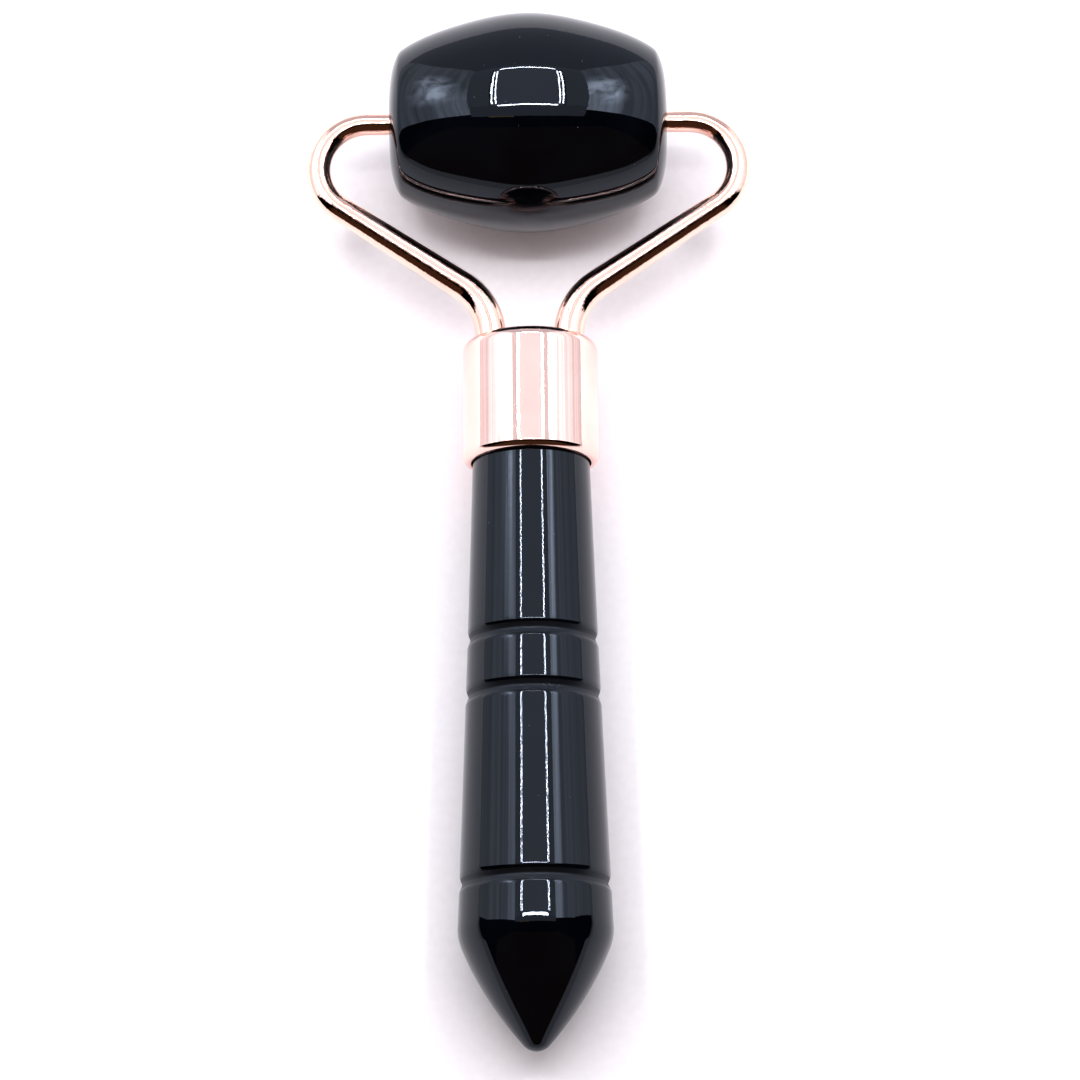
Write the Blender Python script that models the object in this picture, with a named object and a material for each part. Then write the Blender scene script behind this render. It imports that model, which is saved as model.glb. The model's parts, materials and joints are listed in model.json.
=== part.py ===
"""Face roller: a barrel-shaped stone roller that turns between two tapered metal arms.

The arms are potted in a metal ferrule, and the ferrule holds a turned stone handle that ends in a point.
The tool lies on the ground plane as it does on a table: on the roller's crown and on the handle's
shoulder. The handle points to -Y, the roller turns about X, and the origin is below the middle of the
bounding box. Distances along the tool are counted from the roller's axis towards the handle's point.
"""

import math

import bpy

MM = 0.001

# Roller stone.
# The barrel's bends are pairs of the slope in degrees and the radius of curvature at that slope.
ROLLER_RADIUS = 15.4 * MM
ROLLER_BENDS = (
    (0.0, 26.0 * MM),
    (8.0, 25.0 * MM),
    (16.0, 62.0 * MM),
    (22.0, 26.0 * MM),
    (28.0, 21.0 * MM),
    (36.0, 4.0 * MM),
    (50.0, 0.8 * MM),
    (90.0, 16.0 * MM),
)
ROLLER_SLOPES = (0, 6, 10, 13, 16, 19, 23, 27, 31, 36, 50, 66, 78, 90)
ROLLER_BORE_RADIUS = 2.3 * MM
ROLLER_BORE_CHAMFER = 0.3 * MM
ROLLER_STEPS = 40

# Bushes in the roller's bore.
BUSH_BORE_RADIUS = 1.6 * MM
BUSH_SLEEVE_RADIUS = 2.15 * MM
BUSH_RECESS = 0.35 * MM
BUSH_LENGTH = 9.0 * MM
BUSH_STEPS = 24

# Arms, measured on their centre lines.
ARM_REACH = 29.4 * MM
ARM_UPPER_BEND = 6.8 * MM
ARM_DIAGONAL_ANGLE = math.radians(34.0)
ARM_LOWER_BEND = 9.0 * MM
ARM_LEG_OFFSET = 5.4 * MM
ARM_PIN_RADIUS = 1.5 * MM
ARM_PIN_END = 11.5 * MM
ARM_TAPER_START = 19.6 * MM
ARM_LEG_RADIUS = 2.2 * MM
ARM_LEG_END = 37.4 * MM
ARM_CHAMFER = 0.3 * MM
ARM_BEVEL_RESOLUTION = 6

# Ferrule: a cup that is open towards the handle's point.
FERRULE_TOP = 32.35 * MM
FERRULE_MOUTH = 49.75 * MM
FERRULE_RADIUS = 9.4 * MM
FERRULE_INNER_RADIUS = 8.25 * MM
FERRULE_ROOF = 1.4 * MM
FERRULE_TOP_ROUNDING = 1.7 * MM
FERRULE_LIP_ROUNDING = 1.1 * MM
FERRULE_STEPS = 40

# Handle stone.
HANDLE_TOP = 38.6 * MM
HANDLE_TOP_CHAMFER = 0.6 * MM
HANDLE_NECK_RADIUS = 8.05 * MM
HANDLE_SHOULDER = 114.1 * MM
HANDLE_SHOULDER_RADIUS = 10.43 * MM
HANDLE_SHOULDER_ROUNDING = 7.2 * MM
HANDLE_POINT_CURVE = 46.0 * MM
HANDLE_POINT_START_ANGLE = math.radians(23.0)
HANDLE_POINT_END_ANGLE = math.radians(42.0)
HANDLE_GROOVES = (74.7 * MM, 82.6 * MM, 108.2 * MM)
HANDLE_GROOVE_WIDTH = 2.0 * MM
HANDLE_GROOVE_DEPTH = 0.45 * MM
HANDLE_STEPS = 36

# Adhesive that fills the ferrule above the handle.
PLUG_STEPS = 32

# Clearance between pieces that touch.
SEAT_GAP = 0.15 * MM
CUTTER_OVERRUN = 2.0 * MM

STONE_COLOUR = (0.016, 0.018, 0.022)
ROSE_GOLD_COLOUR = (0.90, 0.56, 0.47)
BUSH_COLOUR = (0.55, 0.50, 0.48)
ADHESIVE_COLOUR = (0.62, 0.58, 0.48)


def clear_scene():
    """Take every object out of the scene."""
    for thing in list(bpy.data.objects):
        bpy.data.objects.remove(thing, do_unlink=True)


def make_material(name, colour, roughness, metallic):
    """A Principled material with one colour."""
    material = bpy.data.materials.new(name)
    material.use_nodes = True
    shader = material.node_tree.nodes["Principled BSDF"]
    shader.inputs["Base Color"].default_value = (*colour, 1.0)
    shader.inputs["Roughness"].default_value = roughness
    shader.inputs["Metallic"].default_value = metallic
    material.diffuse_color = (*colour, 1.0)
    return material


def add_object(name, data, parent, material=None):
    """Link an object to the scene under its parent."""
    thing = bpy.data.objects.new(name, data)
    bpy.context.scene.collection.objects.link(thing)
    thing.parent = parent
    if material is not None:
        data.materials.append(material)
    return thing


def arc(centre, radius, start, end, count):
    """Points on a circle in the (radius, height) plane, with both ends included."""
    points = []
    for index in range(count):
        angle = start + (end - start) * index / (count - 1)
        points.append((centre[0] + radius * math.cos(angle), centre[1] + radius * math.sin(angle)))
    return points


def add_turned(name, outline, steps, closed, parent, material=None):
    """A solid turned about its local Z from an outline of (radius, height) points.

    The outline runs down the outer side. Half a step of phase puts a flat facet, not an edge, on each of
    the four sides of the solid.
    """
    phase = math.pi / steps
    vertices = [(radius * math.cos(phase), radius * math.sin(phase), height) for radius, height in outline]
    edges = [(index, index + 1) for index in range(len(outline) - 1)]
    if closed:
        edges.append((len(outline) - 1, 0))
    mesh = bpy.data.meshes.new(name)
    mesh.from_pydata(vertices, edges, [])
    turned = add_object(name, mesh, parent, material)
    screw = turned.modifiers.new("turn", "SCREW")
    screw.axis = "Z"
    screw.angle = 2.0 * math.pi
    screw.steps = steps
    screw.render_steps = steps
    screw.use_merge_vertices = True
    screw.merge_threshold = 0.00001
    screw.use_smooth_shade = True
    return turned


def cut_with(target, cutter):
    """Cut one object out of another with a Boolean, and keep the cutter hidden."""
    cutter.hide_render = True
    cutter.display_type = "WIRE"
    boolean = target.modifiers.new("cut_" + cutter.name, "BOOLEAN")
    boolean.operation = "DIFFERENCE"
    boolean.solver = "EXACT"
    boolean.object = cutter


def roller_curvature(slope):
    """The barrel's radius of curvature where its surface slopes by this many degrees."""
    for (low, low_radius), (high, high_radius) in zip(ROLLER_BENDS, ROLLER_BENDS[1:]):
        if slope <= high:
            return low_radius + (high_radius - low_radius) * (slope - low) / (high - low)
    return ROLLER_BENDS[-1][1]


def barrel_curve():
    """Points (radius, height) from the crown to the end face.

    The slope grows in half-degree steps. Each step goes along the surface by the radius of curvature
    times the step's angle, and points are kept at the chosen slopes.
    """
    step = 0.5
    radius = ROLLER_RADIUS
    height = 0.0
    points = [(radius, height)]
    for index in range(180):
        slope = (index + 0.5) * step
        length = roller_curvature(slope) * math.radians(step)
        radius -= length * math.sin(math.radians(slope))
        height += length * math.cos(math.radians(slope))
        if (index + 1) * step in ROLLER_SLOPES:
            points.append((radius, height))
    return points


def roller_outline():
    """The barrel's section: a flat end face, the curved side, the other end face and a bore."""
    curve = barrel_curve()
    half = curve[-1][1]
    upper = [(ROLLER_BORE_RADIUS + ROLLER_BORE_CHAMFER, half)] + curve[:0:-1]
    lower = [(radius, -height) for radius, height in reversed(upper)]
    bore_end = half - ROLLER_BORE_CHAMFER
    bore = [(ROLLER_BORE_RADIUS, -bore_end), (ROLLER_BORE_RADIUS, bore_end)]
    return upper + curve[:1] + lower + bore


def add_roller_stone(roller_axis, stone):
    """The barrel-shaped stone roller, turned about X."""
    roller = add_turned("roller_stone", roller_outline(), ROLLER_STEPS, True, roller_axis, stone)
    roller.rotation_euler = (0.0, math.pi / 2, 0.0)


def add_bush(name, side, roller_axis, plastic):
    """A plastic sleeve in one end of the bore, set back a little from the end face."""
    outer_end = barrel_curve()[-1][1] - BUSH_RECESS
    inner_end = outer_end - BUSH_LENGTH
    outline = [
        (BUSH_BORE_RADIUS, outer_end),
        (BUSH_SLEEVE_RADIUS, outer_end),
        (BUSH_SLEEVE_RADIUS, inner_end),
        (BUSH_BORE_RADIUS, inner_end),
    ]
    bush = add_turned(name, outline, BUSH_STEPS, True, roller_axis, plastic)
    bush.rotation_euler = (0.0, side * math.pi / 2, 0.0)


def arm_centre_line():
    """Points (across, along) from the pin's end in the roller to the leg's end in the ferrule.

    The arm leaves the roller straight, turns back through the upper bend, runs down the diagonal and
    straightens in the lower bend, so that its leg is parallel to the handle.
    """
    upper_centre = ARM_REACH - ARM_UPPER_BEND
    diagonal = ARM_DIAGONAL_ANGLE
    upper = arc((upper_centre, -ARM_UPPER_BEND), ARM_UPPER_BEND, math.pi / 2, diagonal - math.pi / 2, 15)
    upper = [(across, -height) for across, height in upper]
    lower_centre = ARM_LEG_OFFSET + ARM_LOWER_BEND
    diagonal_end = lower_centre - ARM_LOWER_BEND * math.sin(diagonal)
    drop = (upper[-1][0] - diagonal_end) * math.tan(diagonal)
    leg_start = upper[-1][1] + drop + ARM_LOWER_BEND * math.cos(diagonal)
    lower = arc((lower_centre, leg_start), ARM_LOWER_BEND, -math.pi / 2 - diagonal, -math.pi, 7)
    pin = [(ARM_PIN_END, 0.0), (ARM_PIN_END + ARM_CHAMFER, 0.0), (ARM_TAPER_START, 0.0)]
    leg = [(ARM_LEG_OFFSET, ARM_LEG_END - ARM_CHAMFER), (ARM_LEG_OFFSET, ARM_LEG_END)]
    return pin + upper + lower + leg


def arm_radii(points):
    """The arm's radius at each point: a plain pin, then an even taper up to the leg."""
    distance = 0.0
    distances = []
    previous = points[0]
    for point in points:
        distance += math.dist(previous, point)
        distances.append(distance)
        previous = point
    taper_start = distances[2]
    taper_end = distances[-3]
    radii = []
    for reached in distances:
        share = min(max((reached - taper_start) / (taper_end - taper_start), 0.0), 1.0)
        radii.append(ARM_PIN_RADIUS + (ARM_LEG_RADIUS - ARM_PIN_RADIUS) * share)
    radii[0] -= ARM_CHAMFER
    radii[-1] -= ARM_CHAMFER
    return radii


def add_arm(name, side, rest_frame, rose_gold):
    """One cast arm as a bevelled curve, on the side given as -1 or 1."""
    points = arm_centre_line()
    curve = bpy.data.curves.new(name, "CURVE")
    curve.dimensions = "3D"
    curve.fill_mode = "FULL"
    curve.bevel_depth = ARM_PIN_RADIUS
    curve.bevel_resolution = ARM_BEVEL_RESOLUTION
    curve.use_fill_caps = True
    spline = curve.splines.new("POLY")
    spline.use_smooth = True
    spline.points.add(len(points) - 1)
    for target, (across, along), radius in zip(spline.points, points, arm_radii(points)):
        target.co = (side * across, -along, 0.0, 1.0)
        target.radius = radius / ARM_PIN_RADIUS
    add_object(name, curve, rest_frame, rose_gold)


def ferrule_outline():
    """The cup's section, from the middle of the roof round the lip to the roof's underside."""
    top = -FERRULE_TOP
    mouth = -FERRULE_MOUTH
    top_centre = (FERRULE_RADIUS - FERRULE_TOP_ROUNDING, top - FERRULE_TOP_ROUNDING)
    lip_centre = (FERRULE_RADIUS - FERRULE_LIP_ROUNDING, mouth + FERRULE_LIP_ROUNDING)
    outline = [(0.0, top)]
    outline += arc(top_centre, FERRULE_TOP_ROUNDING, math.pi / 2, 0.0, 6)
    outline += arc(lip_centre, FERRULE_LIP_ROUNDING, 0.0, -math.pi / 2, 5)
    outline += [(FERRULE_INNER_RADIUS, mouth), (FERRULE_INNER_RADIUS, top - FERRULE_ROOF)]
    outline.append((0.0, top - FERRULE_ROOF))
    return outline


def add_leg_cutter(name, side, rest_frame):
    """The round hole that one arm's leg passes through, as a cutter."""
    radius = ARM_LEG_RADIUS + SEAT_GAP
    top = -FERRULE_TOP + CUTTER_OVERRUN
    bottom = -HANDLE_TOP - CUTTER_OVERRUN
    outline = [(0.0, top), (radius, top), (radius, bottom), (0.0, bottom)]
    cutter = add_turned(name, outline, BUSH_STEPS, False, rest_frame)
    cutter.location = (side * ARM_LEG_OFFSET, 0.0, 0.0)
    cutter.rotation_euler = (-math.pi / 2, 0.0, 0.0)
    return cutter


def add_ferrule(rest_frame, rose_gold, cutters):
    """The plated cup that joins the arms to the handle."""
    ferrule = add_turned("ferrule", ferrule_outline(), FERRULE_STEPS, False, rest_frame, rose_gold)
    ferrule.rotation_euler = (-math.pi / 2, 0.0, 0.0)
    for cutter in cutters:
        cut_with(ferrule, cutter)


def add_adhesive_plug(rest_frame, adhesive, cutters):
    """The cured adhesive between the ferrule's roof and the handle's end, round both legs."""
    top = -(FERRULE_TOP + FERRULE_ROOF + SEAT_GAP)
    bottom = -(HANDLE_TOP - SEAT_GAP)
    radius = FERRULE_INNER_RADIUS - SEAT_GAP
    outline = [(0.0, top), (radius, top), (radius, bottom), (0.0, bottom)]
    plug = add_turned("adhesive_plug", outline, PLUG_STEPS, False, rest_frame, adhesive)
    plug.rotation_euler = (-math.pi / 2, 0.0, 0.0)
    for cutter in cutters:
        cut_with(plug, cutter)


def handle_radius(along):
    """The handle's radius between the ferrule's mouth and the shoulder, without the grooves."""
    share = (along - FERRULE_MOUTH) / (HANDLE_SHOULDER - FERRULE_MOUTH)
    swell = 0.85 * share + 0.15 * share**2
    return HANDLE_NECK_RADIUS + (HANDLE_SHOULDER_RADIUS - HANDLE_NECK_RADIUS) * swell


def groove_points(middle):
    """One V-shaped groove with soft lips, from its upper edge to its lower edge."""
    points = []
    for share in (-1.0, -0.5, 0.0, 0.5, 1.0):
        along = middle + share * HANDLE_GROOVE_WIDTH / 2
        depth = HANDLE_GROOVE_DEPTH * (1.0 - abs(share)) ** 1.25
        points.append((handle_radius(along) - depth, -along))
    return points


def handle_outline():
    """The handle's section, from the middle of its hidden end down to the point."""
    top = -HANDLE_TOP
    outline = [
        (0.0, top),
        (HANDLE_NECK_RADIUS - HANDLE_TOP_CHAMFER, top),
        (HANDLE_NECK_RADIUS, top - HANDLE_TOP_CHAMFER),
        (HANDLE_NECK_RADIUS, -FERRULE_MOUTH),
    ]
    for middle in HANDLE_GROOVES:
        outline += groove_points(middle)
    shoulder_centre = (HANDLE_SHOULDER_RADIUS - HANDLE_SHOULDER_ROUNDING, -HANDLE_SHOULDER)
    shoulder = arc(shoulder_centre, HANDLE_SHOULDER_ROUNDING, 0.0, -HANDLE_POINT_START_ANGLE, 5)
    curve_centre = (
        shoulder[-1][0] - HANDLE_POINT_CURVE * math.cos(HANDLE_POINT_START_ANGLE),
        shoulder[-1][1] + HANDLE_POINT_CURVE * math.sin(HANDLE_POINT_START_ANGLE),
    )
    flank = arc(curve_centre, HANDLE_POINT_CURVE, -HANDLE_POINT_START_ANGLE, -HANDLE_POINT_END_ANGLE, 5)
    tip_rounding = flank[-1][0] / math.cos(HANDLE_POINT_END_ANGLE)
    tip_centre = (0.0, flank[-1][1] + tip_rounding * math.sin(HANDLE_POINT_END_ANGLE))
    tip = arc(tip_centre, tip_rounding, -HANDLE_POINT_END_ANGLE, -math.pi / 2, 4)
    tip[-1] = (0.0, tip[-1][1])
    return outline + shoulder + flank[1:] + tip[1:]


def add_handle_stone(rest_frame, stone):
    """The turned stone handle."""
    handle = add_turned("handle_stone", handle_outline(), HANDLE_STEPS, False, rest_frame, stone)
    handle.rotation_euler = (-math.pi / 2, 0.0, 0.0)


def add_empties():
    """The frame of the fixed pieces and the roller's axis, placed so that the tool lies on z = 0.

    The roller's lowest facet and the shoulder's lowest facet both touch the ground. The tilt follows
    from shoulder_distance * sin(tilt) + shoulder_height * cos(tilt) = roller_height.
    """
    crown_radius = max(radius for radius, height in roller_outline())
    roller_height = crown_radius * math.cos(math.pi / ROLLER_STEPS)
    shoulder_height = HANDLE_SHOULDER_RADIUS * math.cos(math.pi / HANDLE_STEPS)
    span = math.hypot(HANDLE_SHOULDER, shoulder_height)
    tilt = math.asin(roller_height / span) - math.atan2(shoulder_height, HANDLE_SHOULDER)
    tip = -handle_outline()[-1][1]
    roller_place = (0.0, (tip * math.cos(tilt) - roller_height) / 2, roller_height)
    rest_frame = add_object("rest_frame", None, None)
    rest_frame.location = roller_place
    rest_frame.rotation_euler = (tilt, 0.0, 0.0)
    roller_axis = add_object("roller_axis", None, None)
    roller_axis.location = roller_place
    return rest_frame, roller_axis


def build():
    """Make every piece of the tool."""
    clear_scene()
    rest_frame, roller_axis = add_empties()
    stone = make_material("black_stone", STONE_COLOUR, 0.08, 0.0)
    rose_gold = make_material("rose_gold_plating", ROSE_GOLD_COLOUR, 0.12, 1.0)
    plastic = make_material("bush_plastic", BUSH_COLOUR, 0.45, 0.0)
    adhesive = make_material("cured_adhesive", ADHESIVE_COLOUR, 0.5, 0.0)
    cutters = [add_leg_cutter("leg_hole_left", -1, rest_frame), add_leg_cutter("leg_hole_right", 1, rest_frame)]
    add_roller_stone(roller_axis, stone)
    add_bush("bush_left", -1, roller_axis, plastic)
    add_bush("bush_right", 1, roller_axis, plastic)
    add_arm("arm_left", -1, rest_frame, rose_gold)
    add_arm("arm_right", 1, rest_frame, rose_gold)
    add_ferrule(rest_frame, rose_gold, cutters)
    add_adhesive_plug(rest_frame, adhesive, cutters)
    add_handle_stone(rest_frame, stone)


build()
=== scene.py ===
"""Looks of a hand-held face roller: an obsidian barrel between rose-gold arms on an obsidian handle."""

import json

import bpy
import numpy as np
from mathutils import Matrix


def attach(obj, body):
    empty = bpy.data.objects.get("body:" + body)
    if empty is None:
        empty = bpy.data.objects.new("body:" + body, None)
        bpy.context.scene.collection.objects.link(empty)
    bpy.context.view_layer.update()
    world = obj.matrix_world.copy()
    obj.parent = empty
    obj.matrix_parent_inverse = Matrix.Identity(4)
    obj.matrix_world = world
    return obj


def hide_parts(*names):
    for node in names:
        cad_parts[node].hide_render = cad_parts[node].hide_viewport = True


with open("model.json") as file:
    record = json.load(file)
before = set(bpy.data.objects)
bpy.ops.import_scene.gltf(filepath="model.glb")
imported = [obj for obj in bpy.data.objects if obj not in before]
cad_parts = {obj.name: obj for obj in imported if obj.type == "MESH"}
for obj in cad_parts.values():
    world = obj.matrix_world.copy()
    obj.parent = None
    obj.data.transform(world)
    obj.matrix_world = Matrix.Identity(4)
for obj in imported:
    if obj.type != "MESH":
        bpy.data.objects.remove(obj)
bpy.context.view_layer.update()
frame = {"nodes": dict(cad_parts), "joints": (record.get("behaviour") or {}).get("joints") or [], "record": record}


# ---- Handle stone ----------------------------------------------------------------------------
# The handle is one length of obsidian, turned on a lathe to a slow taper with three grooves and a
# point, then polished by hand. Its plain upper end is glued into the ferrule.

MM = 0.001
HANDLE_END = 38.6 * MM
HANDLE_END_CHAMFER = 0.6 * MM
HANDLE_MOUTH = 49.75 * MM
HANDLE_NECK_RADIUS = 8.05 * MM
HANDLE_SHOULDER = 114.1 * MM
HANDLE_SHOULDER_RADIUS = 10.43 * MM
HANDLE_SHOULDER_ROUNDING = 7.2 * MM
HANDLE_POINT_CURVE = 46.0 * MM
HANDLE_POINT_START = np.radians(23.0)
HANDLE_POINT_END = np.radians(42.0)
GROOVE_PLACES = (74.7 * MM, 82.6 * MM, 108.2 * MM)
GROOVE_HALF_WIDTH = 1.05 * MM
GROOVE_DEPTH = 0.48 * MM
GROOVE_BOTTOM = 0.14 * MM
GROOVE_LIP = 0.05 * MM
GRIP_SWELL = 0.15
GROUND_EDGE = 0.95
GROUND_STEEPNESS = 2.6
HANDLE_TURNS = 160
SAME_POINT = 0.000001 * MM

# The tool's own frame: distances along it count from the roller's axis towards the point.
roller_axis = np.array(frame["joints"][0]["pos_m"])
mounts = {mount["name"]: mount for mount in frame["record"]["mounts"]}
towards_roller = np.array(mounts["ferrule_end_face"]["axis"])
towards_roller /= np.linalg.norm(towards_roller)
across = np.array([1.0, 0.0, 0.0])
upward = np.cross(across, towards_roller)


def lay_along_tool(sideways, along, up):
    """World points: the roller's axis, plus each distance times the direction that it is measured in."""
    return (
        roller_axis
        + np.multiply.outer(sideways, across)
        - np.multiply.outer(along, towards_roller)
        + np.multiply.outer(up, upward)
    )


def arc(centre, radius, start, end, count):
    """Points (radius, along) on a circle: the centre plus the radius times cosine and sine of the angle."""
    angle = np.linspace(start, end, count)
    return np.stack([centre[0] + radius * np.cos(angle), centre[1] + radius * np.sin(angle)], 1)


def add_surface(name, grid, loop=False):
    """A mesh object from a grid of points whose columns close on themselves.

    Neighbouring points make a face. The rows close too when loop is set. A row that has shrunk to one
    point becomes a pole, and all faces are turned outwards by the sign of the volume they enclose.
    """
    rows, columns = grid.shape[:2]
    points = grid.reshape(-1, 3)
    index = np.arange(rows * columns).reshape(rows, columns)
    for row in (0, -1):
        if np.ptp(grid[row], axis=0).max() < SAME_POINT:
            index[row] = index[row, 0]
    first = index if loop else index[:-1]
    second = np.roll(index, -1, 0) if loop else index[1:]
    quads = np.stack([first, np.roll(first, -1, 1), np.roll(second, -1, 1), second], -1).reshape(-1, 4)
    halves = np.concatenate([quads[:, [0, 1, 2]], quads[:, [0, 2, 3]]])
    corners = points[halves]
    volume = np.einsum("ij,ij->i", corners[:, 0], np.cross(corners[:, 1], corners[:, 2])).sum()
    if volume < 0:
        quads = quads[:, ::-1]
    start_pole = quads[:, 0] == quads[:, 1]
    end_pole = quads[:, 2] == quads[:, 3]
    whole = ~(start_pole | end_pole)
    used, numbers = np.unique(quads, return_inverse=True)
    numbers = numbers.reshape(quads.shape)
    faces = numbers[whole].tolist() + numbers[start_pole][:, [0, 2, 3]].tolist()
    faces += numbers[end_pole][:, [0, 1, 2]].tolist()
    mesh = bpy.data.meshes.new(name)
    mesh.from_pydata(points[used], [], faces)
    mesh.shade_smooth()
    piece = bpy.data.objects.new(name, mesh)
    bpy.context.scene.collection.objects.link(piece)
    return piece


def turned_grid(profile, turns):
    """A profile of (radius, along) points turned about the tool's axis: radius times cosine and sine."""
    angle = np.linspace(0.0, 2.0 * np.pi, turns, endpoint=False)
    radius = profile[:, :1]
    along = np.repeat(profile[:, 1:], turns, 1)
    return lay_along_tool(radius * np.cos(angle), along, radius * np.sin(angle))


def linear(code):
    """An sRGB hex colour as linear RGBA: a straight part near black, and a power of 2.4 above it."""
    value = np.array([int(code[place : place + 2], 16) for place in (1, 3, 5)]) / 255.0
    low = value / 12.92
    high = ((value + 0.055) / 1.055) ** 2.4
    return (*np.where(value <= 0.04045, low, high).tolist(), 1.0)


def add_node(tree, kind, settings=None, links=None):
    """Add a node, set its inputs and properties, and link inputs to their sources.

    An input goes by its name, or by its number where several share a name.
    """
    added = tree.nodes.new(kind)
    for name, value in (settings or {}).items():
        if name == "stops":
            elements = added.color_ramp.elements
            while len(elements) < len(value):
                elements.new(0.5)
            for element, (position, colour) in zip(elements, value):
                element.position = position
                element.color = colour
        elif isinstance(name, int) or name in added.inputs:
            added.inputs[name].default_value = value
        else:
            setattr(added, name, value)
    for name, source in (links or {}).items():
        tree.links.new(source, added.inputs[name])
    return added


def new_material(name):
    """A new material, its node tree and the Principled shader that it starts with."""
    material = bpy.data.materials.new(name)
    material.use_nodes = True
    return material, material.node_tree, material.node_tree.nodes["Principled BSDF"]


def polished_obsidian():
    """Obsidian, volcanic glass polished with tin oxide.

    The eye sees near-black glass with a mirror gloss, slow waves where the wheel leaned, a little haze
    from handling, and a few pale inclusions the size of a grain of dust. Its reflections are faintly
    blue. Where the attribute "ground" rises to 1 the stone is as grinding left it, dark and satin.
    """
    material, tree, shader = new_material("polished_obsidian")
    shader.inputs["IOR"].default_value = 1.58
    shader.inputs["Specular Tint"].default_value = linear("#e6f0ff")
    place = add_node(tree, "ShaderNodeTexCoord").outputs["Object"]
    flow_width = 9.0 * MM
    flow = add_node(
        tree,
        "ShaderNodeTexNoise",
        {"Scale": 1 / flow_width, "Detail": 3.0, "Distortion": 0.6},
        {"Vector": place},
    )
    glass = add_node(
        tree,
        "ShaderNodeValToRGB",
        {"stops": [(0.35, linear("#040509")), (0.70, linear("#080b13"))]},
        {"Fac": flow.outputs["Fac"]},
    )
    speck_spacing = 2.2 * MM
    speck = add_node(
        tree,
        "ShaderNodeTexVoronoi",
        {"Scale": 1 / speck_spacing, "Randomness": 1.0},
        {"Vector": place},
    )
    speck_mask = add_node(
        tree,
        "ShaderNodeMapRange",
        {"From Min": 0.045, "From Max": 0.03, "To Min": 0.0, "To Max": 1.0},
        {"Value": speck.outputs["Distance"]},
    )
    body = add_node(
        tree,
        "ShaderNodeMix",
        {"data_type": "RGBA", 7: linear("#565a60")},
        {0: speck_mask.outputs["Result"], 6: glass.outputs["Color"]},
    )
    tree.links.new(body.outputs[2], shader.inputs["Base Color"])
    haze_width = 14.0 * MM
    haze = add_node(
        tree,
        "ShaderNodeTexNoise",
        {"Scale": 1 / haze_width, "Detail": 5.0, "Roughness": 0.6},
        {"Vector": place},
    )
    gloss = add_node(
        tree,
        "ShaderNodeMapRange",
        {"From Min": 0.4, "From Max": 0.75, "To Min": 0.012, "To Max": 0.035},
        {"Value": haze.outputs["Fac"]},
    )
    ground = add_node(tree, "ShaderNodeAttribute", {"attribute_name": "ground"})
    ground_gloss = add_node(
        tree,
        "ShaderNodeMapRange",
        {"From Min": 0.0, "From Max": 1.0, "To Max": 0.45},
        {"Value": ground.outputs["Fac"], "To Min": gloss.outputs["Result"]},
    )
    tree.links.new(ground_gloss.outputs["Result"], shader.inputs["Roughness"])
    wave_width = 3.0 * MM
    wave = add_node(
        tree,
        "ShaderNodeTexNoise",
        {"Scale": 1 / wave_width, "Detail": 1.0},
        {"Vector": place},
    )
    wave_bump = add_node(
        tree,
        "ShaderNodeBump",
        {"Strength": 1.0, "Distance": 0.006 * MM},
        {"Height": wave.outputs["Fac"]},
    )
    ripple_width = 0.7 * MM
    ripple = add_node(
        tree,
        "ShaderNodeTexNoise",
        {"Scale": 1 / ripple_width, "Detail": 1.0},
        {"Vector": place},
    )
    ripple_bump = add_node(
        tree,
        "ShaderNodeBump",
        {"Strength": 1.0, "Distance": 0.0018 * MM},
        {"Height": ripple.outputs["Fac"], "Normal": wave_bump.outputs["Normal"]},
    )
    tree.links.new(ripple_bump.outputs["Normal"], shader.inputs["Normal"])
    return material


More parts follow.
